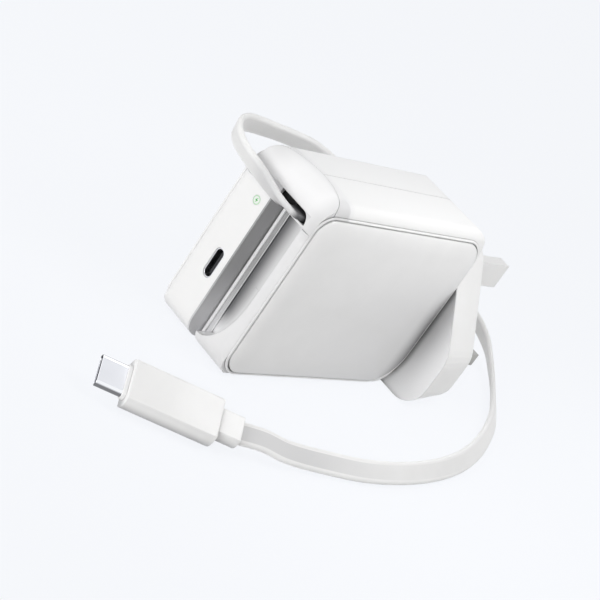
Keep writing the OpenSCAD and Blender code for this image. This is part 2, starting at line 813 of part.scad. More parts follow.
module mains_fuse() color("khaki") place() {
  x = board_x - fuse_r - hair;
  rod(fuse_y, fuse_y + fuse_l, x, fuse_z, fuse_r);
  for (y = [fuse_y, fuse_y + fuse_l - 1]) box([x - 0.4, y, fuse_z - 0.4], [board_x, y + 1, fuse_z + 0.4]);
}

module emi_choke() color("darkgreen") place() difference() {
  bar(board_x - choke_t, board_x, choke_y, choke_z, choke_d / 2);
  bar(board_x - choke_t - past, board_x + past, choke_y, choke_z, choke_d / 4);
}

module bulk_capacitors() color("slategray") place() for (y = bulk_y) {
  r = tall / 2;
  translate([board_x - r - hair, y, bulk_low]) cylinder(h = bulk_len, r = r);
  for (s = [-1, 1]) box([board_x - r, y + s * 1.2 - 0.3, bulk_low - can_lead],
                        [board_x, y + s * 1.2 + 0.3, bulk_low]);
}

module output_capacitors() color("slategray") place()
  for (z = output_z) bar(board_x - tall, board_x, output_y, z, output_r);

module safety_capacitor() color("gold") place()
  box([board_x - tall, film_y, film_low], [board_x, film_y + film_d, film_low + film_h]);

core_lid = 1.2;
core_leg_r = 3.4;

module transformer_core() color("dimgray") place() {
  leg = 1.6;
  d = transformer_d / 2;
  h = transformer_h / 2;
  translate([0, transformer_y, transformer_z]) {
    for (x = [board_x - tall, board_x - core_lid]) box([x, -d, -h], [x + core_lid, d, h]);
    for (y = [-d, d - leg]) box([board_x - tall, y, -h], [board_x, y + leg, h]);
    bar(board_x - tall + hair, board_x - hair, 0, 0, core_leg_r);
  }
}

module transformer_winding() color("orange") place() translate([0, transformer_y, transformer_z]) {
  r = min(transformer_d / 2 - 1.6, transformer_h / 2) - hair;
  difference() {
    bar(board_x - tall + core_lid + hair, board_x - core_lid - hair, 0, 0, r);
    bar(board_x - tall, board_x, 0, 0, core_leg_r + hair);
  }
}

module power_chips() color("black") place() {
  for (p = [[port_d + 1.4, chip_low], [transformer_y - chip - 3, chip_high], [transformer_y + 1, chip_high]])
    box([board_x - chip_t, p[0], p[1]], [board_x, p[0] + chip, p[1] + chip]);
}

// plate against the left wall, with two tabs bent over to the board
module heat_spreader() color("lightsteelblue") place() {
  x = hair - inner_half;
  low = board_z + 4;
  high = spreader_top;
  tab = 8;
  tab_z = transformer_z - transformer_h / 2 - 8;
  box([x, seam_y + 2, low], [x + spreader_t, board_end - 4, high]);
  box([x, transformer_y - 3, high - spreader_t], [board_x, transformer_y - 3 + tab, high]);
  box([x, transformer_y - tab, tab_z], [board_x, transformer_y, tab_z + spreader_t]);
}

// ---------------------------------------------------------------- lead reel

// plate beside the board that carries the axle, the brushes and the lock
module reel_chassis() color("silver") place() {
  difference() {
    union() {
      across(chassis_x, chassis_face)
        rounded([reel_y - chassis_half, axle_z - chassis_half],
                [pivot_y + chassis_rim, pivot_z + chassis_rim], [5, 5, chassis_rim, 5]);
      for (p = [[-14, -14], [14, -14], [-14, 16], [8, 17]])
        bar(board_face, chassis_x + hair, reel_y + p.x, axle_z + p.y, 2);
    }
    for (a = [150, 225, 300])
      bar(board_face, reel_x, reel_y + 12 * cos(a), axle_z + 12 * sin(a), 3.4);
    bar(board_face, reel_x, reel_y, axle_z, axle_r + hair / 2);
    bar(board_face, reel_x, pivot_y, pivot_z, pivot_r + hair / 2);
  }
}

module reel_axle() color("gray") place() {
  bar(chassis_x - 0.7, chassis_x, reel_y, axle_z, axle_r + 1.2);
  bar(chassis_x - hair, inner_half + 0.8, reel_y, axle_z, axle_r);
}

module brush_block() color("saddlebrown") place() {
  turn = 200;
  for (r = [ring_near, ring_far]) translate([0, reel_y + r * cos(turn), axle_z + r * sin(turn)]) {
    bar(chassis_face + 0.4 - hair, reel_x - ring_t - hair, 0, 0, 0.4);
    box([chassis_face, -1.4, -1], [chassis_face + 0.4, 1.4, 1]);
  }
}

module lock_pivot() color("gray") place()
  bar(chassis_x, reel_x - hair, pivot_y, pivot_z, pivot_r);

module lock_arm() color("steelblue") place() {
  x0 = chassis_face + lock_gap;
  x1 = x0 + lock_t;
  away = sqrt(pow(pivot_y - peg_y, 2) + pow(pivot_z - peg_z, 2));
  bearing = atan2(peg_z - pivot_z, peg_y - pivot_y);
  difference() {
    union() {
      bar(x0, x1, pivot_y, pivot_z, pivot_r + arm_half);
      bar(x0, x1, peg_y, peg_z, peg_r + arm_half / 2);
      translate([0, pivot_y, pivot_z]) rotate([bearing, 0, 0]) box([x0, 0, -arm_half], [x1, away, arm_half]);
      bar(x0, reel_x + track_depth - 0.2, peg_y, peg_z, peg_r);
    }
    bar(x0 - past, x1 + past, pivot_y, pivot_z, pivot_r + running);
  }
}

// annulus round the axle
module ring(x0, x1, inner, outer) difference() {
  bar(x0, x1, reel_y, axle_z, outer);
  bar(x0 - past, x1 + past, reel_y, axle_z, inner);
}

module cable_reel() color("lightslategray") place() {
  difference() {
    union() {
      bar(reel_x, drum_x, reel_y, axle_z, reel_r);
      bar(drum_x - hair, drum_end + hair, reel_y, axle_z, drum_r);
      bar(drum_end, spring_x, reel_y, axle_z, reel_r);
      ring(spring_x - hair, cover_x, spring_rim, spring_rim + 1);
    }
    ring(reel_x - past, reel_x + track_depth, track_in, track_in + track_w);
    bar(reel_x - past, cover_x + past, reel_y, axle_z, axle_r + running);
  }
}

module wound_lead() color("gainsboro") place() ring(ribbon_x, ribbon_x + lead_w, drum_r, wound_r);

spring_low_r = axle_r + 1.2;
spring_high_r = spring_rim - hair;
spring_strip = 0.25;

// outer radius of the spring's strip after turning by a
function spring_r(a) = spring_low_r + spring_strip
  + (spring_high_r - spring_low_r - spring_strip) * a / (spring_turns * 360);

// flat strip wound from the axle out to the rim
module reel_spring() color("darkgray") place() {
  last = spring_turns * 360;
  step = 18;
  inside = [for (a = [0:step:last]) (spring_r(a) - spring_strip) * [cos(a), sin(a)]];
  outside = [for (a = [last:-step:0]) spring_r(a) * [cos(a), sin(a)]];
  across(spring_x + 0.15, cover_x - 0.15) translate([reel_y, axle_z]) polygon(concat(inside, outside));
}

module spring_cover() color("silver") place()
  ring(cover_x, cover_x + cover_t, axle_r + running, spring_rim + 1);

module slip_rings() color("goldenrod") place() {
  for (r = [ring_near, ring_far]) ring(reel_x - ring_t, reel_x, r - ring_w / 2, r + ring_w / 2);
}

// the lead inside the body: from the drum's tangent over the guide to the slot
module feed_lead() color("whitesmoke") place() {
  run_r = wound_r + ribbon_gap + lead_t / 2;
  turn = [guide_y, feed_z];
  axis = [reel_y, axle_z];
  v = turn - axis;
  bearing = atan2(v.y, v.x) - acos(run_r / norm(v));
  leave = axis + run_r * [cos(bearing), sin(bearing)];
  translate([0, 0, feed_z - lead_t / 2]) linear_extrude(lead_t)
    polygon([[ribbon_x, guide_y], [feed_x - lead_w / 2, feed_y], [feed_x + lead_w / 2, feed_y],
             [ribbon_x + lead_w, guide_y]]);
  across(ribbon_x, ribbon_x + lead_w) {
    translate(turn) circle(lead_t / 2);
    translate(turn) rotate(atan2(leave.y - turn.y, leave.x - turn.x))
      translate([0, -lead_t / 2]) square([norm(leave - turn), lead_t]);
  }
}

// ---------------------------------------------------------------- free lead

function unit(v) = v / norm(v);

// smooth curve through the route, t running from 0 to 1 between two points
function curve(a, b, c, d, t) =
  0.5 * (2 * b + (c - a) * t + (2 * a - 5 * b + 4 * c - d) * t * t + (3 * b - a - 3 * c + d) * t * t * t);

function at(i) = route[max(0, min(len(route) - 1, i))];

steps = 2;
path = concat([for (i = [0:len(route) - 2]) for (k = [0:steps - 1])
                 curve(at(i - 1), at(i), at(i + 1), at(i + 2), k / steps)],
              [at(len(route))]);

function point(i) = [path[i].x, path[i].y, path[i].z];

function along(i) = i == 0 ? [0, -1, 0]
  : i == len(path) - 1 ? [cos(plug_turn), sin(plug_turn), 0]
  : unit(point(i + 1) - point(i - 1));

// direction of the lead's width at ring i
function width_way(i) =
  let (t = along(i), up = unit([0, 0, 1] - t.z * t), side = cross(t, up))
  cos(path[i][3]) * up + sin(path[i][3]) * side;

lead_section = let (w = lead_w / 2, t = lead_t / 2)
  [[w, -t / 2], [w, t / 2], [w - t * 0.7, t], [t * 0.7 - w, t],
   [-w, t / 2], [-w, -t / 2], [t * 0.7 - w, -t], [w - t * 0.7, -t]];

module lead() color("whitesmoke") place() {
  n = len(lead_section);
  last = len(path) - 1;
  points = [for (i = [0:last]) let (w = width_way(i), h = cross(along(i), w))
              for (p = lead_section) point(i) + p.x * w + p.y * h];
  sides = [for (i = [0:last - 1]) for (k = [0:n - 1])
             let (a = i * n + k, b = i * n + (k + 1) % n)
               for (f = [[a, a + n, b], [b, a + n, b + n]]) f];
  start = [for (k = [1:n - 2]) [0, k, k + 1]];
  end = [for (k = [1:n - 2]) [last * n, last * n + k + 1, last * n + k]];
  polyhedron(points, concat(start, end, sides));
}

// the plug's own frame: x toward its tip, z across its width
module at_plug() place() translate(plug_at) rotate([0, 0, plug_turn]) rotate([plug_lean, 0, 0])
  children();

// bar along the plug from x0 to x1 whose sides bow out with radius bow
module plug_bar(x0, x1, thick, wide, bow) translate([x0, 0, 0]) rotate([90, 0, 90])
  linear_extrude(x1 - x0) intersection() {
    square([thick, wide], center = true);
    stadium(2 * bow, wide);
  }

module plug_stadium(x0, x1, thick, wide) translate([x0, 0, 0]) rotate([90, 0, 90])
  linear_extrude(x1 - x0) stadium(thick, wide);

grip_end = relief_len + grip_len;
collar_end = grip_end + collar_len;

module plug_relief() color("white") at_plug() 
  plug_bar(0, relief_len, relief_t, relief_w, relief_t * grip_bow / grip_t);

module plug_grip() color("white") at_plug() {
  plug_bar(relief_len, grip_end, grip_t, grip_w, grip_bow);
  plug_stadium(grip_end - hair, collar_end, shell_t + 0.8, shell_w + 0.8);
}

module plug_shell() color("silver") at_plug() difference() {
  plug_stadium(collar_end, collar_end + shell_len, shell_t, shell_w);
  plug_stadium(collar_end - past, collar_end + shell_len + past, shell_t - 0.6, shell_w - 0.6);
}

module plug_contacts() color("black") at_plug() difference() {
  plug_stadium(collar_end, collar_end + shell_len - 0.6, shell_t - 0.6, shell_w - 0.6);
  plug_stadium(collar_end + 2, collar_end + shell_len, 0.8, shell_w - 1.7);
}

front_frame();
dock_liner();
slot_guide();
left_shell();
right_shell();
left_side_panel();
right_side_panel();
plug_base();
pin_carrier();
base_screws();
earth_pin();
live_pin();
neutral_pin();
live_sleeve();
neutral_sleeve();
live_contact();
neutral_contact();
main_board();
port_shell();
port_tongue();
light_pipe();
status_led();
mains_fuse();
emi_choke();
bulk_capacitors();
output_capacitors();
safety_capacitor();
transformer_core();
transformer_winding();
power_chips();
heat_spreader();
reel_chassis();
reel_axle();
brush_block();
lock_pivot();
lock_arm();
cable_reel();
wound_lead();
reel_spring();
spring_cover();
slip_rings();
feed_lead();
lead();
plug_relief();
plug_grip();
plug_shell();
plug_contacts();
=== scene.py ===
"""Looks of a laptop power adapter with a flat lead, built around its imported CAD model.

Lengths are in millimetres, with y counted back from the front face, unless a comment says
metres. row() turns such points into metres in the row frame.
"""

import json
import math

import bpy
import numpy as np
from mathutils import Matrix, Vector


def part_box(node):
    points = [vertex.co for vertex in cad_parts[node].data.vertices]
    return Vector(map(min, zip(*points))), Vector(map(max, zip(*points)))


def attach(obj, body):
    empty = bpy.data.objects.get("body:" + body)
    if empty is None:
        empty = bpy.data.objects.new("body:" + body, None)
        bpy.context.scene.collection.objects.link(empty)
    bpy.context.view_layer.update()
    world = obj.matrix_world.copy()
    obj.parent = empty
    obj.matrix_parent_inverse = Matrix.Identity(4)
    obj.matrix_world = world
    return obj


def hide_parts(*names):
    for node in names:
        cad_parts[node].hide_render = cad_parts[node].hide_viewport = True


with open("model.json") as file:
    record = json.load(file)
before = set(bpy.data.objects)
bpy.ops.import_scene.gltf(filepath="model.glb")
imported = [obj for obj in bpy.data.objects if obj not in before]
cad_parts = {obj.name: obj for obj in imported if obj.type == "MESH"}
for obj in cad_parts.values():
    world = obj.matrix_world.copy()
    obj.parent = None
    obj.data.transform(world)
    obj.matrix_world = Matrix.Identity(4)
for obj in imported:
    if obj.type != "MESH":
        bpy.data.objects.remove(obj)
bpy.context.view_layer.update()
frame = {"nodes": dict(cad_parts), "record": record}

MM = 0.001
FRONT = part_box("front_frame")[0][1] / MM      # the front face in the row frame
OUT = {"left": -1, "right": 1}                # the way out of the body on each side


def row(points):
    """Points in metres in the row frame from millimetres, y from the front face."""
    return (np.asarray(points, float).reshape(-1, 3) + [0, FRONT, 0]) * MM


def box_of(node):
    """A node's lowest and highest corners in millimetres, y from the front face."""
    return [np.array(corner) / MM - [0, FRONT, 0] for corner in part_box(node)]


# ---------------------------------------------------------------- camera

CAMERA_AT = (0.2518311, -0.3924677, 0.1937254)               # metres
CAMERA_RIGHT = (0.5610422, 0.6362486, 0.5295464)
CAMERA_DOWN = (0.6416069, 0.0699692, -0.7638356)
CAMERA_AWAY = (-0.5230413, 0.7683046, -0.3689658)
CAMERA_SENSOR, CAMERA_LENS = 36, 108.127
CAMERA_REACH = (0.01, 20)                                    # metres


def make_camera():
    data = bpy.data.cameras.new("camera")
    data.sensor_width = CAMERA_SENSOR
    data.lens = CAMERA_LENS
    data.clip_start, data.clip_end = CAMERA_REACH
    camera = bpy.data.objects.new("camera", data)
    bpy.context.scene.collection.objects.link(camera)
    axes = Matrix((CAMERA_RIGHT, -Vector(CAMERA_DOWN), -Vector(CAMERA_AWAY))).transposed()
    camera.matrix_world = Matrix.Translation(CAMERA_AT) @ axes.to_4x4()
    bpy.context.scene.camera = camera


make_camera()


# ---------------------------------------------------------------- mesh helpers

def mesh_object(name, points, faces, sharp=40):
    """A smooth-shaded piece of the adapter from points in metres, its edges sharp above an
    angle in degrees."""
    mesh = bpy.data.meshes.new(name)
    mesh.from_pydata([tuple(p) for p in points], [], faces)
    mesh.validate()
    mesh.polygons.foreach_set("use_smooth", [True] * len(mesh.polygons))
    mesh.set_sharp_from_angle(angle=math.radians(sharp))
    mesh.update()
    obj = bpy.data.objects.new(name, mesh)
    bpy.context.scene.collection.objects.link(obj)
    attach(obj, "adapter")
    return obj


def skin(rings, closed=False):
    """Points and faces of a skin over rings of equal length, its two ends capped, or joined
    to each other where it is closed."""
    n, count = len(rings[0]), len(rings)
    faces = []
    for i in range(count if closed else count - 1):
        a, b = i * n, (i + 1) % count * n
        for k in range(n):
            j = (k + 1) % n
            faces.append((a + k, a + j, b + j, b + k))
    if not closed:
        faces.append(tuple(reversed(range(n))))
        faces.append(tuple(range((count - 1) * n, count * n)))
    return np.vstack(rings), faces


def band(obj, tone):
    """Stores one tone for each point of a ring, the same on all of a piece's rings."""
    values = np.resize(tone, len(obj.data.vertices))
    obj.data.attributes.new("band", "FLOAT", "POINT").data.foreach_set("value", values)


def arc(centre, radius, start, end, steps):
    """Points of an arc in a plane, angles in degrees."""
    a = np.radians(np.linspace(start, end, steps + 1))
    return np.column_stack([centre[0] + radius * np.cos(a), centre[1] + radius * np.sin(a)])


def rounded_outline(low, high, radii, steps=10, between=6):
    """Rectangle with its own radius at each corner, named round from low, low. Each side has
    some points between its corners."""
    (x0, y0), (x1, y1) = low, high
    centres = [(x0 + radii[0], y0 + radii[0]), (x1 - radii[1], y0 + radii[1]),
               (x1 - radii[2], y1 - radii[2]), (x0 + radii[3], y1 - radii[3])]
    corners = [arc(c, r, 180 + 90 * i, 270 + 90 * i, steps)
               for i, (c, r) in enumerate(zip(centres, radii))]
    share = np.linspace(0, 1, between + 2)[1:-1, None]
    points = []
    for corner, after in zip(corners, corners[1:] + corners[:1]):
        points += [corner, corner[-1] * (1 - share) + after[0] * share]
    return np.vstack(points)


ROUND_STEPS = 16


def stadium_outline(thick, wide):
    """Two half rounds joined by flats, the long side along the second axis."""
    r, c = thick / 2, (wide - thick) / 2
    return np.vstack([arc((0, c), r, 0, 180, ROUND_STEPS), arc((0, -c), r, 180, 360, ROUND_STEPS)])


def stadium_tone():
    """How far each point of a stadium outline has turned from the flats, 0 to 1."""
    return np.tile(1 - np.abs(np.linspace(-1, 1, ROUND_STEPS + 1)), 2)


def tube_round(outline, lift, radius, steps=12):
    """Rings of a round bead along a closed outline. lift(p, q) places points that lie at p in
    the outline's plane and at q off it."""
    ahead = np.roll(outline, -1, 0) - np.roll(outline, 1, 0)
    ahead /= np.linalg.norm(ahead, axis=1)[:, None]
    outward = np.column_stack([ahead[:, 1], -ahead[:, 0]])
    return [lift(outline + outward * radius * math.cos(a), radius * math.sin(a))
            for a in np.radians(np.linspace(0, 360, steps + 1)[:-1])]


# ---------------------------------------------------------------- the lead

LEAD_W, LEAD_T = 6.0, 1.6
EDGE_BAND = 0.4                               # width of the band of painted highlight on the flat beside a rounded edge
EDGE_STEPS = 12
PLUG_AT = (41.6, -17.3, 5.3)
PLUG_TURN, PLUG_LEAN = -123.3, 58.0           # degrees
# x, y, z and the roll of the flat in degrees, as in the part's source
ROUTE = [
    (6.6, 2.4, 46.6, -90), (6.6, 1.3, 46.6, -89), (6.2, -0.2, 46.6, -84), (5, -1.6, 46.9, -72),
    (2.8, -2.7, 47.2, -56), (-0.6, -2.9, 47.5, -42), (-4.6, -2.6, 47.8, -34),
    (-8.6, -2.3, 48.1, -31), (-13, -1.9, 48.3, -31), (-17.5, -1.6, 48.9, -28),
    (-21.2, -0.8, 49.7, -18), (-24.4, 1.4, 50.4, -6), (-26.4, 4.8, 50.8, 6), (-27, 9, 50.7, 16),
    (-26.8, 15, 50.3, 24), (-26, 23, 49.8, 28), (-25.2, 32, 48.6, 30), (-24.6, 43, 45.2, 30),
    (-24.2, 55, 40.4, 30), (-23.6, 67, 35.2, 32), (-22.8, 79, 29.8, 34), (-21.4, 91, 25, 37),
    (-19, 103, 20.8, 40), (-15.4, 114, 17.2, 44), (-11.6, 122, 14.6, 46), (-7.6, 127.6, 12, 45),
    (-3.4, 130.6, 9.3, 41), (1.4, 131.2, 6.8, 37), (6.8, 129, 4.6, 35), (11.9, 125.6, 3.3, 35),
    (18.1, 119.5, 3, 36), (24.5, 112.6, 2.9, 38), (31.5, 104.1, 2.9, 40), (38.4, 93.2, 2.8, 42),
    (44.4, 81.2, 2.8, 44), (49, 68.3, 2.8, 46), (51.9, 54.4, 2.8, 48), (53, 39.4, 2.8, 50),
    (52.1, 24.3, 2.8, 50), (49.2, 10.4, 3, 50), (46.6, -2, 3.8, 53), (43.7, -9.6, 4.9, 56),
    (*PLUG_AT, PLUG_LEAN)]
LEAD_STEPS = 8                                # steps of the curve between two points


def curve_through(points, steps):
    """Uniform Catmull-Rom curve, the same as the one in the part's source."""
    p = np.asarray(points, float)
    p = np.vstack([p[0], p, p[-1]])
    t = (np.arange(steps) / steps)[:, None]
    spans = []
    for a, b, c, d in zip(p, p[1:], p[2:], p[3:]):
        spans.append(0.5 * (2 * b + (c - a) * t + (2 * a - 5 * b + 4 * c - d) * t ** 2
                            + (3 * b - a - 3 * c + d) * t ** 3))
    return np.vstack(spans + [p[-1:]])


def unit(v):
    return v / np.linalg.norm(v)


def ribbon_section():
    """Flat ribbon with fully rounded edges, and how far each point lies in its edge, 0 to 1."""
    r = LEAD_T / 2
    c = LEAD_W / 2 - r
    across = np.array([c - EDGE_BAND / 2, c - EDGE_BAND, c / 2, 0,
                       -c / 2, EDGE_BAND - c, EDGE_BAND / 2 - c])
    flat = np.column_stack([across, np.full(len(across), r)])
    outline = np.vstack([arc((c, 0), r, -90, 90, EDGE_STEPS), flat,
                         arc((-c, 0), r, 90, 270, EDGE_STEPS), -flat])
    tone = np.clip((np.abs(outline[:, 0]) - c + EDGE_BAND) / (EDGE_BAND / 2), 0, 1)
    return outline, tone


def make_lead():
    """The ribbon, the points that it follows and its length, both in metres."""
    line = curve_through(ROUTE, LEAD_STEPS)
    centre, roll = line[:, :3], np.radians(line[:, 3])
    turn = math.radians(PLUG_TURN)
    out_of_slot, into_plug = np.array([0, -1.0, 0]), np.array([math.cos(turn), math.sin(turn), 0])
    ways = [out_of_slot, *(unit(b - a) for a, b in zip(centre, centre[2:])), into_plug]
    section, tone = ribbon_section()
    rings = []
    for at, along, angle in zip(centre, ways, roll):
        up = unit(np.array([0, 0, 1]) - along[2] * along)
        wide = math.cos(angle) * up + math.sin(angle) * np.cross(along, up)
        thick = np.cross(along, wide)
        rings.append(row(at + section[:, :1] * wide + section[:, 1:] * thick))
    obj = mesh_object("lead_ribbon", *skin(rings), sharp=60)
    band(obj, tone)
    path = row(centre)
    length = float(np.linalg.norm(np.diff(path, axis=0), axis=1).sum())
    return obj, path, length


lead, lead_path, lead_length = make_lead()
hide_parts("lead")


# ---------------------------------------------------------------- the plug on the lead

RELIEF, GRIP, COLLAR, SHELL = 6.3, 23.7, 1.0, 6.65           # lengths along the plug
# thickness and width, the radius of the bowed sides and that of the end edges
GRIP_SIZE, GRIP_BOW, GRIP_END = (6.0, 12.3), 4.5, 0.22
RELIEF_SIZE, RELIEF_BOW, RELIEF_END = (4.8, 7.9), 3.6, 0.2
COLLAR_SIZE, COLLAR_END = (3.2, 9.05), 0.25
SHELL_SIZE, SHELL_LIP = (2.4, 8.25), 0.12
SHEET, MOUTH = 0.3, 0.7                       # the shell's sheet, and how deep its mouth tapers
SOFT, LEAST_SOFT = 0.3, 0.05                  # radius of the grip's and relief's long edges
TUCK = 0.1                                    # how far one part reaches into the next
BOW_STEPS, SOFT_STEPS, END_STEPS = 14, 5, 5
PLUG_SLOTS = {"plug_grip_body": "grip_white", "plug_collar": "grip_white",
              "plug_relief_body": "grip_white", "plug_shell_body": "plug_steel"}
PLUG = (Matrix.Translation(PLUG_AT) @ Matrix.Rotation(math.radians(PLUG_TURN), 4, "Z")
        @ Matrix.Rotation(math.radians(PLUG_LEAN), 4, "X"))


def plug_ring(x, outline):
    """One ring of the plug, its outline given as thickness and width."""
    return row([tuple(PLUG @ Vector((x, p, q))) for p, q in outline])


def bowed_outline(thick, wide, bow, soft):
    """Flat faces joined by bowed sides of radius bow, the edges between them rounded by soft."""
    c, inner = wide / 2 - bow, bow - soft
    lean = math.degrees(math.asin(min(1, (thick / 2 - soft) / inner)))
    points = []
    for turn, q in ((0, c), (180, -c)):
        start, end = turn + 90 - lean, turn + 90 + lean
        first, last = ((inner * math.cos(a), q + inner * math.sin(a))
                       for a in (math.radians(start), math.radians(end)))
        points += [arc(first, soft, turn, start, SOFT_STEPS),
                   arc((0, q), bow, start, end, BOW_STEPS)[1:-1],
                   arc(last, soft, end, turn + 180, SOFT_STEPS)]
    return np.vstack(points)


def bowed_tone():
    """How far round its side from the upper face each point of a bowed outline lies, 0 to 1."""
    side = np.concatenate([np.zeros(SOFT_STEPS + 1), np.linspace(0, 1, BOW_STEPS + 1)[1:-1],
                           np.ones(SOFT_STEPS), [0]])
    return np.concatenate([side, side[::-1]])


def bowed_bar(x0, x1, size, bow, end):
    """Rings of a bowed bar along the plug whose end edges are rounded by end."""
    thick, wide = size
    profile = [(x0 + end * (1 - math.cos(a)), end * (1 - math.sin(a)))
               for a in np.radians(np.linspace(0, 90, END_STEPS + 1))]
    profile += [(x0 + x1 - x, inset) for x, inset in reversed(profile)]
    return [plug_ring(x, bowed_outline(thick - 2 * inset, wide - 2 * inset, bow - inset,
                                       max(SOFT - inset, LEAST_SOFT)))
            for x, inset in profile]


def stadium_bar(size, profile):
    """Rings of a round-sided bar along the plug from its places and their insets."""
    return [plug_ring(x, stadium_outline(size[0] - 2 * inset, size[1] - 2 * inset))
            for x, inset in profile]


def rolled(end, radius, start, stop, steps):
    """Places and insets of an edge rolled in at an end, from one angle to another."""
    return [(end - radius + radius * math.sin(a), radius * (1 - math.cos(a)))
            for a in np.radians(np.linspace(start, stop, steps + 1))]


def make_plug():
    grip_end = RELIEF + GRIP
    collar_end = grip_end + COLLAR
    tip = collar_end + SHELL
    collar = [(grip_end - TUCK, 0), (collar_end - COLLAR_END, 0),
              *rolled(collar_end, COLLAR_END, 15, 90, END_STEPS)]
    shell = [(collar_end - TUCK, 0), *rolled(tip, SHELL_LIP, 0, 180, 8),
             (tip - MOUTH, SHEET), (collar_end - TUCK, SHEET)]
    pieces = {
        "plug_grip_body": skin(bowed_bar(RELIEF, grip_end, GRIP_SIZE, GRIP_BOW, GRIP_END)),
        "plug_relief_body": skin(bowed_bar(0, RELIEF + TUCK, RELIEF_SIZE, RELIEF_BOW, RELIEF_END)),
        "plug_collar": skin(stadium_bar(COLLAR_SIZE, collar)),
        "plug_shell_body": skin(stadium_bar(SHELL_SIZE, shell), closed=True),
    }
    made = {name: mesh_object(name, *piece) for name, piece in pieces.items()}
    band(made["plug_shell_body"], stadium_tone())
    band(made["plug_grip_body"], bowed_tone())
    band(made["plug_relief_body"], bowed_tone())
    return made


plug = make_plug()
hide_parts("plug_grip")
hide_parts("plug_relief")
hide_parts("plug_shell")


# ---------------------------------------------------------------- side panels

PANEL_RADII = (6, 10, 8, 5)                   # toe, heel, back, nose
PILLOW = 6.0                                  # width of the pillowed edge
PILLOW_STEPS = 18
DOME, DOME_STEPS = 0.22, 12                   # rise of the face inside the edge
GROOVE = 0.42                                 # gap between the panel and its bead
BEAD_R, BEAD_LIFT = 0.36, 0.3


def side_panel(side):
    """A pillow-shaped panel and the round bead along its groove."""
    low, high = box_of(side + "_side_panel")
    out = OUT[side]
    base, rise = low[0] if out > 0 else high[0], high[0] - low[0]

    def outline(inset):
        radii = [max(r - inset / 2, 1) for r in PANEL_RADII]
        return rounded_outline(low[1:] + inset, high[1:] - inset, radii)

    def ring(flat, lift):
        return row(np.column_stack([np.full(len(flat), base + out * lift), flat]))

    rings = [ring(outline(GROOVE), 0)]
    for a in np.radians(np.linspace(0, 90, PILLOW_STEPS + 1)):
        inset = PILLOW * (1 - math.cos(a))
        if inset > GROOVE:
            rings.append(ring(outline(inset), (rise - DOME) * math.sin(a)))
    edge = outline(PILLOW)
    middle = edge.mean(0)
    for share in np.linspace(0.94, 0.06, DOME_STEPS):
        rings.append(ring(middle + (edge - middle) * share, rise - DOME * share ** 2))
    if out < 0:
        rings = [r[::-1] for r in rings]
    panel = mesh_object(side + "_panel_face", *skin(rings), sharp=50)
    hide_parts(side + "_side_panel")

    tube = tube_round(outline(0.0), lambda flat, q: ring(flat, BEAD_LIFT + q), BEAD_R)
    bead = mesh_object(side + "_panel_bead", *skin(tube, closed=True), sharp=80)
    return panel, bead


panels = [side_panel(side) for side in OUT]


# ---------------------------------------------------------------- dock, slot and light

DOCK_X, CHANNEL_X, SCOOP_X = -1.67, 1.33, 4.53    # left side, channel's side, scoop's middle
DOCK_DEPTH, DOCK_TOP = 6.4, 45.0
DOCK_FOOT, FOOT_LENGTH = 22.0, 18.0               # below it the scoop draws in to the channel
SLOT_X, SLOT_W, SLOT_LOW, SLOT_HIGH = -1.77, 12.3, 45.6, 48.4
SHADE_PLATE_Y = (3.4, 4.4)                               # depth of the shade plate's front and back
SHADE_PLATE_LEFT, SHADE_PLATE_GAP = 1.2, 0.03                   # how far it goes past the slot, and its gap
SHADE_PLATE_RADII = (0.1, 0.1, 2.6, 0.1)
RIB_LOW, RIB_RINGS = 0.2, 24                      # lowest point of the ribs
HAIR = 0.05                                       # how far a rib sinks in, and its gap on top


def rib(name, x, width, height, soft):
    """Round-shouldered rib standing on the dock's floor along its whole height."""
    half = width / 2
    section = np.vstack([arc((x + half - soft, height - soft), soft, 0, 90, 6),
                         arc((x - half + soft, height - soft), soft, 90, 180, 6),
                         [[x - half, -HAIR], [x + half, -HAIR]]])
    rings = [row(np.column_stack([section[:, 0], DOCK_DEPTH - section[:, 1],
                                  np.full(len(section), z)]))
             for z in np.linspace(RIB_LOW, DOCK_TOP - HAIR, RIB_RINGS)]
    return mesh_object(name, *skin(rings), sharp=60)


def plate(name, outline, y0, y1, soft):
    """Plate between two depths whose front edge is rounded by soft."""
    middle = outline.mean(0)
    reach = np.abs(outline - middle).max()

    def ring(flat, y):
        return row(np.column_stack([flat[:, 0], np.full(len(flat), y), flat[:, 1]]))

    rings = [ring(outline, y1)]
    for a in np.radians(np.linspace(0, 90, 6)):
        inset = soft * (1 - math.cos(a))
        flat = middle + (outline - middle) * (1 - inset / reach)
        rings.append(ring(flat, y0 + soft * (1 - math.sin(a))))
    return mesh_object(name, *skin(rings), sharp=50)


ribs = [rib("dock_rib", DOCK_X + 0.8, width=0.96, height=0.7, soft=0.28),
        rib("channel_rib", CHANNEL_X - 0.175, width=0.41, height=0.34, soft=0.12)]

# a dark plate inside the slot, standing in for the shade deep in the slot
shade_plate = plate("slot_shade_plate", rounded_outline((SLOT_X - SHADE_PLATE_LEFT, SLOT_LOW + SHADE_PLATE_GAP),
                                          (SLOT_X + SLOT_W - SHADE_PLATE_GAP, SLOT_HIGH - SHADE_PLATE_GAP),
                                          SHADE_PLATE_RADII), *SHADE_PLATE_Y, soft=0.2)

light_box = box_of("light_pipe")
LIGHT_X, _, LIGHT_Z = (light_box[0] + light_box[1]) / 2
BOLT = np.array([(0.24, 0.78), (-0.5, -0.14), (-0.04, -0.14),
                 (-0.24, -0.78), (0.5, 0.14), (0.04, 0.14)])
bolt = plate("light_bolt", BOLT + [LIGHT_X, LIGHT_Z], -0.02, 0.3, soft=0.01)


# ---------------------------------------------------------------- materials

def linear(*srgb):
    """Linear colour from sRGB values of 0 to 255."""
    return tuple(c / 12.92 if c <= 0.04045 else ((c + 0.055) / 1.055) ** 2.4
                 for c in (v / 255 for v in srgb))


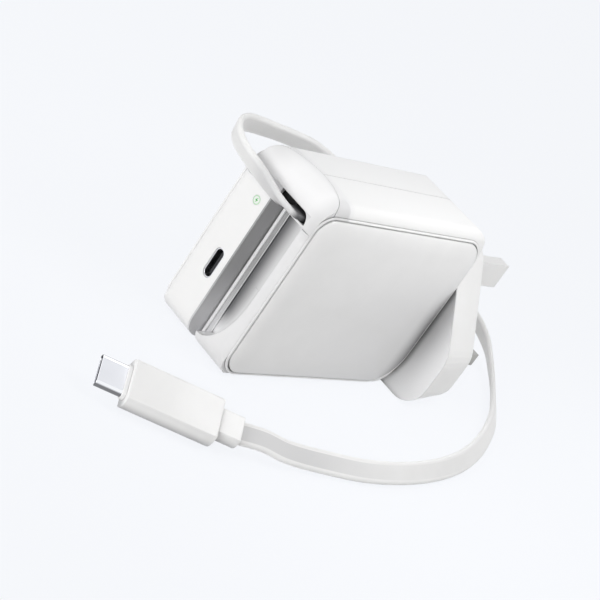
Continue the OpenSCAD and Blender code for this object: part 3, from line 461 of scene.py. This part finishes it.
MOTTLE = 12                                   # size of the mottling, in grains
ROUGH_SPREAD = 0.1                            # share by which the roughness varies
GRAIN_DEPTH = 0.00005                         # metres
DEEP_CORNER = 0.3                             # openness at which a corner's painted shade is darkest


class Nodes:
    """Short forms for building a node tree."""

    def __init__(self, tree):
        self.tree = tree

    def new(self, kind, inputs=(), **settings):
        node = self.tree.nodes.new(kind)
        for key, value in settings.items():
            setattr(node, key, value)
        for socket, value in dict(inputs).items():
            self.put(node.inputs[socket], value)
        return node

    def put(self, socket, value):
        if isinstance(value, bpy.types.NodeSocket):
            self.tree.links.new(value, socket)
        else:
            socket.default_value = value

    def maths(self, operation, *values):
        return self.new("ShaderNodeMath", enumerate(values), operation=operation).outputs[0]

    def ramp(self, value, low, high):
        """0 at low to 1 at high, easing at both ends; low may be the larger."""
        settings = {"Value": value, "From Min": low, "From Max": high}
        return self.new("ShaderNodeMapRange", settings, interpolation_type="SMOOTHSTEP").outputs[0]

    def mix(self, share, a, b, **settings):
        inputs = {0: share, 6: self.colour(a), 7: self.colour(b)}
        return self.new("ShaderNodeMix", inputs, data_type="RGBA", **settings).outputs[2]

    def colour(self, value):
        return value if isinstance(value, bpy.types.NodeSocket) else (*value, 1)

    def place(self):
        """The point in millimetres, y from the front face."""
        at = self.new("ShaderNodeTexCoord").outputs["Object"]
        parts = self.new("ShaderNodeSeparateXYZ", {0: at}).outputs
        x, y, z = (self.maths("MULTIPLY", part, 1 / MM) for part in parts)
        return x, self.maths("SUBTRACT", y, FRONT), z

    def band(self):
        """The tone stored by band()."""
        return self.new("ShaderNodeAttribute", attribute_name="band").outputs["Fac"]

    def within(self, value, low, high, soft):
        """1 between low and high, easing to 0 over soft outside them."""
        return self.both(self.ramp(value, low - soft, low), self.ramp(value, high + soft, high))

    def both(self, first, *others):
        """The product of shares."""
        for other in others:
            first = self.maths("MULTIPLY", first, other)
        return first

    def most(self, first, *others):
        """The largest of shares."""
        for other in others:
            first = self.maths("MAXIMUM", first, other)
        return first

    def mix_shader(self, share, a, b):
        inputs = {0: share, 1: a.outputs[0], 2: b.outputs[0]}
        return self.new("ShaderNodeMixShader", inputs).outputs[0]


def finish(name, colour, rough=0.4, metal=0.0, vary=0.02, grain=1500.0, bump=0.04,
           stretch=(1, 1, 1), edge=0.0, contact=0.0, shade=0.4, open_at=0.95, paint=None,
           **sockets):
    """A procedural finish: two near colours and roughnesses mottled over the surface, a fine
    grain in bump, edges rounded by edge, and painted shade that darkens the tone to shade in
    corners nearer than contact. Uniform values go on the shader's own sockets."""
    mat = bpy.data.materials.new(name)
    mat.use_nodes = True
    n = Nodes(mat.node_tree)
    shader = mat.node_tree.nodes["Principled BSDF"]
    n.put(shader.inputs["Metallic"], metal)
    for socket, value in sockets.items():
        n.put(shader.inputs[socket.replace("_", " ")], value)

    at = n.new("ShaderNodeTexCoord").outputs["Object"]
    scaled = n.new("ShaderNodeMapping", {"Vector": at, "Scale": stretch}).outputs[0]
    cloud = n.new("ShaderNodeTexNoise",
                  {"Vector": scaled, "Scale": grain / MOTTLE, "Detail": 4}).outputs["Fac"]
    fine = n.new("ShaderNodeTexNoise",
                 {"Vector": scaled, "Scale": grain, "Detail": 2}).outputs["Fac"]

    tint = n.mix(n.ramp(cloud, 0.3, 0.7), tuple(c * (1 - vary) for c in colour), colour)
    if paint:
        tint = paint(n, tint)
    # painted shade: the colour darkens in corners and creases, as far as occlusion reaches
    if contact:
        near = n.new("ShaderNodeAmbientOcclusion", {"Distance": contact * MM},
                     samples=8).outputs["AO"]
        dark = n.mix(1.0, tint, (shade, shade, shade), blend_type="MULTIPLY")
        tint = n.mix(n.ramp(near, DEEP_CORNER, open_at), dark, tint)
    n.put(shader.inputs["Base Color"], tint)
    varied = {"Value": fine, "To Min": rough * (1 - ROUGH_SPREAD),
              "To Max": rough * (1 + ROUGH_SPREAD)}
    n.put(shader.inputs["Roughness"], n.new("ShaderNodeMapRange", varied).outputs[0])

    relief = n.new("ShaderNodeBump", {"Strength": bump, "Distance": GRAIN_DEPTH, "Height": fine})
    if edge:
        n.put(relief.inputs["Normal"],
              n.new("ShaderNodeBevel", {"Radius": edge * MM}, samples=6).outputs[0])
    n.put(shader.inputs["Normal"], relief.outputs[0])
    return mat


PANEL_REAR = box_of("right_side_panel")[1][1]
BASE_FRONT = box_of("plug_base")[0][1]
NOSE_BACK = 10.5                              # just behind the front moulding's seam
SCOOP_SHADE, SCOOP_END = 6.2, 9.0             # width of the scoop's shade, and an x past it
DEEPEST = 0.995                               # the last of the foot, where the shade has no width
LEAD_HIGH = (38, 42)                          # heights over which the painted shade at the slot sets in
RING_IN, RING_OUT = 1.02, 1.14                # radii of the light's green ring

# painted shade for the scoop's floor and for the slot's inside
DOCK_SHADE, SLOT_SHADE = linear(104, 104, 106), linear(66, 66, 67)
# painted light for the front and the shells, painted shade for the nose
FRAME_LIGHT, NOSE_SHADE = linear(250, 250, 250), linear(216, 216, 217)
# painted shade on the base's front, away from and near the body
BASE_SHADE_FAR, BASE_SHADE_NEAR = linear(236, 236, 237), linear(164, 164, 165)
# painted shade low on the panel and at its rear edge
PANEL_LOW_SHADE, PANEL_EDGE_SHADE = linear(226, 226, 227), linear(84, 84, 86)
# painted light on the liner towards its toe
LINER_TOE_LIGHT = linear(222, 222, 224)
RING_GREEN = linear(182, 226, 182)
# painted shade on the grip's bowed sides
GRIP_SIDE_SHADE = linear(188, 188, 189)
# painted highlight and painted reflection on the shell's rounded sides
STEEL_HIGHLIGHT, STEEL_REFLECTION = linear(252, 252, 252), linear(128, 128, 130)
# painted shade and painted light on the lead's flat, and its painted edge highlights
LEAD_SHADE, LEAD_LIGHT, LEAD_SLOT_SHADE = linear(222, 222, 223), linear(254, 254, 254), linear(84, 84, 86)
EDGE_HIGHLIGHT, EDGE_DIM_HIGHLIGHT = linear(250, 250, 250), linear(226, 226, 227)


def frame_paint(n, tint):
    """Painted shade: the scoop's floor shades off from the channel, and the slot is dark inside.
    Painted light: the front and the shells are paler than the nose. Painted shade: the nose is
    a little greyer towards both sides."""
    x, y, z = n.place()
    below = n.maths("DIVIDE", n.maths("SUBTRACT", DOCK_FOOT, z), FOOT_LENGTH)
    below = n.maths("MINIMUM", n.maths("MAXIMUM", below, 0.0), DEEPEST)
    drawn = n.maths("SQRT", n.maths("SUBTRACT", 1.0, n.maths("MULTIPLY", below, below)))
    width = n.maths("MULTIPLY", drawn, SCOOP_SHADE)
    across = n.maths("DIVIDE", n.maths("SUBTRACT", x, CHANNEL_X), width)
    # painted shade on the scoop's floor, fading off from the channel
    dock = n.both(n.ramp(across, 1.0, 0.0), n.within(y, 1.0, DOCK_DEPTH + 0.2, 0.8),
                  n.within(z, 1.5, DOCK_TOP, 2.0), n.within(x, CHANNEL_X - 0.1, SCOOP_END, 0.1),
                  n.ramp(below, 1.0, 0.5))
    # painted shade: the slot's walls are dark inside
    slot = n.both(n.within(x, SLOT_X - 0.1, SLOT_X + SLOT_W + 0.1, 0.1),
                  n.ramp(y, 0.5, 2.2), n.ramp(y, 13, 12), n.ramp(x, -2.6, 2.5),
                  n.within(z, DOCK_TOP + 0.2, SLOT_HIGH + 0.1, 0.1))

    # painted light: the front face and the shells behind the nose are paler
    face = n.both(n.ramp(y, 1.5, 0.5), n.ramp(z, 45.5, 43), n.ramp(x, DOCK_X, DOCK_X - 1))
    behind = n.ramp(y, NOSE_BACK, NOSE_BACK + 2)
    tint = n.mix(n.most(face, behind), tint, FRAME_LIGHT)
    # painted shade: the nose is greyer towards both sides, and so is the front beside the scoop
    moulding = n.ramp(y, NOSE_BACK, NOSE_BACK - 1)
    flare = n.both(n.ramp(x, 8.0, 14.5), n.ramp(z, 40, 46), moulding, 0.8)
    left = n.both(n.ramp(x, -3, -14), n.ramp(z, 47, 50), moulding, 0.6)
    strip = n.both(n.ramp(x, CHANNEL_X, SCOOP_X), n.ramp(z, 45, 40), moulding, 0.25)
    tint = n.mix(n.most(flare, left, strip), tint, NOSE_SHADE)
    return n.mix(slot, n.mix(dock, tint, DOCK_SHADE), SLOT_SHADE)


def base_paint(n, tint):
    """Painted shade: the base's front is greyer and shades off towards the body."""
    x, y, z = n.place()
    front = n.ramp(y, BASE_FRONT + 0.9, BASE_FRONT + 0.1)
    near = n.both(n.ramp(z, -4, 24), n.ramp(n.maths("ABSOLUTE", x), 25.5, 14.0))
    return n.mix(front, tint, n.mix(near, BASE_SHADE_FAR, BASE_SHADE_NEAR))


def panel_paint(n, tint):
    """Painted shade: the panel is greyer low at the rear and darkens at that edge, against the
    base.
    """
    _, y, z = n.place()
    low_rear = n.both(n.ramp(z, 46, 24), n.ramp(y, 5, PANEL_REAR))
    at_base = n.both(n.ramp(y, PANEL_REAR - 9, PANEL_REAR + 0.5), n.ramp(z, 40, 22))
    return n.mix(at_base, n.mix(low_rear, tint, PANEL_LOW_SHADE), PANEL_EDGE_SHADE)


def liner_paint(n, tint):
    """Painted light: the liner is paler towards its toe."""
    z = n.place()[2]
    return n.mix(n.ramp(z, 26.0, 0.0), tint, LINER_TOE_LIGHT)


def light_paint(n, tint):
    """A green ring near the light's edge."""
    x, _, z = n.place()
    dx, dz = n.maths("SUBTRACT", x, LIGHT_X), n.maths("SUBTRACT", z, LIGHT_Z)
    squares = n.maths("ADD", n.maths("MULTIPLY", dx, dx), n.maths("MULTIPLY", dz, dz))
    ring = n.within(n.maths("SQRT", squares), RING_IN, RING_OUT, 0.08)
    return n.mix(ring, tint, RING_GREEN)


def grip_paint(n, tint):
    """Painted shade: the bowed sides grow greyer from the upper face down."""
    return n.mix(n.ramp(n.band(), 0.15, 0.8), tint, GRIP_SIDE_SHADE)


def steel_paint(n, tint):
    """Painted highlight and reflection: the shell's rounded sides take a pale line, then the
    painted dark of what they face.
    """
    turned = n.band()
    pale = n.mix(n.within(turned, 0.12, 0.35, 0.1), tint, STEEL_HIGHLIGHT)
    return n.mix(n.ramp(turned, 0.4, 0.6), pale, STEEL_REFLECTION)


def lead_paint(n, tint):
    """Painted highlight whitens the lead's rounded edges; painted shade greys the flat near the
    plug and the slot and darkens it into the slot; painted light makes it paler behind the body."""
    x, y, z = n.place()
    near_plug = n.both(n.ramp(y, 42, 0), n.ramp(z, 30, 15))
    near_slot = n.both(n.ramp(x, -14, -3), n.ramp(y, 20, 6), n.ramp(z, *LEAD_HIGH))
    inside = n.both(n.ramp(x, -0.5, 3.0), n.ramp(y, -3.4, -1.2), n.ramp(z, *LEAD_HIGH))
    tint = n.mix(near_plug, tint, LEAD_SHADE)
    tint = n.mix(n.ramp(y, 60, 95), tint, LEAD_LIGHT)
    tint = n.mix(near_slot, tint, LEAD_SHADE)
    edge = n.mix(near_slot, EDGE_HIGHLIGHT, EDGE_DIM_HIGHLIGHT)
    return n.mix(inside, n.mix(n.band(), tint, edge), LEAD_SLOT_SHADE)


# contact, shade and open_at set how much shade each finish paints into its corners
FINISHES = {
    "shell_white": dict(colour=linear(246, 246, 247), rough=0.32, edge=0.22, contact=1.4,
                        shade=0.5, open_at=0.85, paint=frame_paint, Coat_Weight=0.15),
    "panel_white": dict(colour=linear(244, 244, 244), rough=0.3, contact=1.6, shade=0.55,
                        paint=panel_paint, Coat_Weight=0.3),
    # the liner's grey also stands in for the shade on the dock's left wall
    "liner_grey": dict(colour=linear(168, 168, 169), rough=0.45, edge=0.15, paint=liner_paint),
    # the slot guide's grey, also worn by the plate that stands in for the slot's shade
    "guide_grey": dict(colour=linear(60, 60, 61), rough=0.7, bump=0.3),
    "base_white": dict(colour=linear(254, 254, 254), rough=0.42, edge=0.2, contact=2.0,
                       shade=0.5, paint=base_paint),
    "pin_white": dict(colour=linear(250, 250, 250), edge=0.15),
    "pin_brass": dict(colour=linear(176, 174, 170), rough=0.3, metal=1, vary=0.08, edge=0.15),
    "sleeve_white": dict(colour=linear(244, 244, 244), edge=0.1),
    "contact_copper": dict(colour=(0.75, 0.45, 0.3), rough=0.3, metal=1, vary=0.1),
    "screw_steel": dict(colour=(0.6, 0.6, 0.62), rough=0.35, metal=1, vary=0.1),
    "board_green": dict(colour=(0.05, 0.3, 0.15), vary=0.2),
    "port_steel": dict(colour=linear(240, 240, 242), rough=0.25, metal=1, vary=0.05, edge=0.08),
    "port_black": dict(colour=linear(34, 34, 36), rough=0.45, vary=0.1),
    "light_green": dict(colour=linear(240, 247, 240), rough=0.35, paint=light_paint),
    "bolt_green": dict(colour=linear(96, 190, 104), vary=0.1),
    "led_body": dict(colour=(0.8, 0.85, 0.6), rough=0.3),
    "fuse_ceramic": dict(colour=(0.8, 0.75, 0.6), vary=0.06),
    "ferrite_green": dict(colour=(0.1, 0.35, 0.2), vary=0.1),
    "can_blue": dict(colour=(0.1, 0.14, 0.3), rough=0.3, vary=0.06),
    "film_yellow": dict(colour=(0.85, 0.6, 0.1), rough=0.35, vary=0.06),
    "ferrite_grey": dict(colour=(0.06, 0.06, 0.065), rough=0.6, vary=0.25),
    "tape_yellow": dict(colour=(0.8, 0.5, 0.08), rough=0.35, vary=0.08),
    "chip_black": dict(colour=(0.02, 0.02, 0.02), rough=0.5, vary=0.2),
    "spreader_alu": dict(colour=(0.75, 0.76, 0.78), rough=0.35, metal=1, vary=0.08,
                         stretch=(1, 8, 1)),
    "chassis_steel": dict(colour=(0.6, 0.6, 0.62), rough=0.32, metal=1, vary=0.1,
                          stretch=(1, 1, 8)),
    "axle_steel": dict(colour=(0.5, 0.5, 0.52), rough=0.25, metal=1, vary=0.06,
                       stretch=(12, 1, 1)),
    "brush_brown": dict(colour=(0.2, 0.09, 0.04), rough=0.55, vary=0.25),
    "reel_grey": dict(colour=(0.11, 0.125, 0.15), rough=0.45, vary=0.08),
    "spring_steel": dict(colour=(0.22, 0.24, 0.3), rough=0.28, metal=1, vary=0.12,
                         stretch=(10, 1, 1)),
    "ring_brass": dict(colour=(0.8, 0.55, 0.2), rough=0.2, metal=1, vary=0.06),
    "lead_white": dict(colour=linear(244, 244, 244), rough=0.5, grain=2400, bump=0.08,
                       contact=1.5, paint=lead_paint),
    "grip_white": dict(colour=linear(248, 248, 248), rough=0.35, contact=0.5, open_at=0.85,
                       paint=grip_paint),
    "plug_steel": dict(colour=linear(236, 236, 238), rough=0.16, metal=1, vary=0.03,
                       stretch=(1, 1, 6), paint=steel_paint),
}
materials = {name: finish(name, **values) for name, values in FINISHES.items()}

slot_of = {part["node"]: part["material_slot"] for part in frame["record"]["subparts"]}
for name, node in frame["nodes"].items():
    node.data.materials.clear()
    node.data.materials.append(materials[slot_of[name]])

worn = [(lead, "lead_white"), (shade_plate, "guide_grey"), (bolt, "bolt_green"),
        *((plug[name], slot) for name, slot in PLUG_SLOTS.items()),
        *((piece, "shell_white") for piece in ribs)]
for panel, bead in panels:
    worn += [(panel, "panel_white"), (bead, "shell_white")]
for piece, material in worn:
    piece.data.materials.append(materials[material])


# ---------------------------------------------------------------- floor and light

BACKDROP = linear(247, 249, 253)
FLOOR, FLOOR_RADIUS = linear(228, 228, 228), 4.0             # metres
FLOOR_GLOW = 1.05
SHADOW_SHARE = 0.12                           # how much of the floor's own shade shows
SKY, SKY_LEVEL = (1, 0.99, 0.97), 0.32
AIM = (0, 0, 0.03)                            # what the large lamps face, in metres
# name, place, aim and size in metres, power in watts, and whether gloss shows it
LAMPS = [
    ("key", (-0.7, -0.7, 1.0), AIM, (0.8, 0.8), 2.2, True),
    ("top", (-0.4, 0.35, 1.2), AIM, (0.8, 0.8), 1.4, True),
    ("front", (0.1, -1.05, 0.2), AIM, (0.6, 0.4), 5.3, True),
    ("side", (0.085, -0.01, 0.15), (0.016, 0.0, 0.035), (0.08, 0.08), 0.097, True),
    ("rear", (0.10, 0.14, 0.05), (0.01, 0.07, 0.025), (0.06, 0.06), 0.022, False),
]


def backdrop_rays(n):
    """1 for rays that see the backdrop: from the camera, in gloss and through glass."""
    rays = n.new("ShaderNodeLightPath").outputs
    return n.most(rays["Is Camera Ray"], rays["Is Glossy Ray"], rays["Is Transmission Ray"])


def make_floor():
    ring = arc((0, 0), FLOOR_RADIUS, 0, 360, 96)[:-1]
    mesh = bpy.data.meshes.new("floor")
    mesh.from_pydata([(x, y, 0) for x, y in ring], [], [tuple(range(len(ring)))])
    floor = bpy.data.objects.new("floor", mesh)
    bpy.context.scene.collection.objects.link(floor)
    mat = bpy.data.materials.new("floor")
    mat.use_nodes = True
    mat.node_tree.nodes.clear()
    n = Nodes(mat.node_tree)
    paint = n.new("ShaderNodeBsdfDiffuse", {"Color": (*FLOOR, 1)})
    glow = n.new("ShaderNodeEmission", {"Color": (*BACKDROP, 1), "Strength": FLOOR_GLOW})
    share = n.maths("MULTIPLY", backdrop_rays(n), 1 - SHADOW_SHARE)
    n.new("ShaderNodeOutputMaterial", {"Surface": n.mix_shader(share, paint, glow)})
    floor.data.materials.append(mat)


def make_world():
    world = bpy.data.worlds.new("world")
    world.use_nodes = True
    world.node_tree.nodes.clear()
    n = Nodes(world.node_tree)
    sky = n.new("ShaderNodeBackground", {"Color": (*SKY, 1), "Strength": SKY_LEVEL})
    seen = n.new("ShaderNodeBackground", {"Color": (*BACKDROP, 1), "Strength": 1})
    n.new("ShaderNodeOutputWorld", {"Surface": n.mix_shader(backdrop_rays(n), sky, seen)})
    bpy.context.scene.world = world


def softbox(name, at, aim, size, power, gloss):
    data = bpy.data.lights.new(name, "AREA")
    data.shape = "RECTANGLE"
    data.size, data.size_y = size
    data.energy = power
    lamp = bpy.data.objects.new(name, data)
    bpy.context.scene.collection.objects.link(lamp)
    lamp.location = at
    lamp.visible_camera = False
    lamp.visible_glossy = gloss
    lamp.rotation_mode = "QUATERNION"
    lamp.rotation_quaternion = (Vector(aim) - Vector(at)).to_track_quat("-Z", "Y")


make_floor()
make_world()
for lamp in LAMPS:
    softbox(*lamp)

bpy.context.scene.view_settings.view_transform = "Standard"
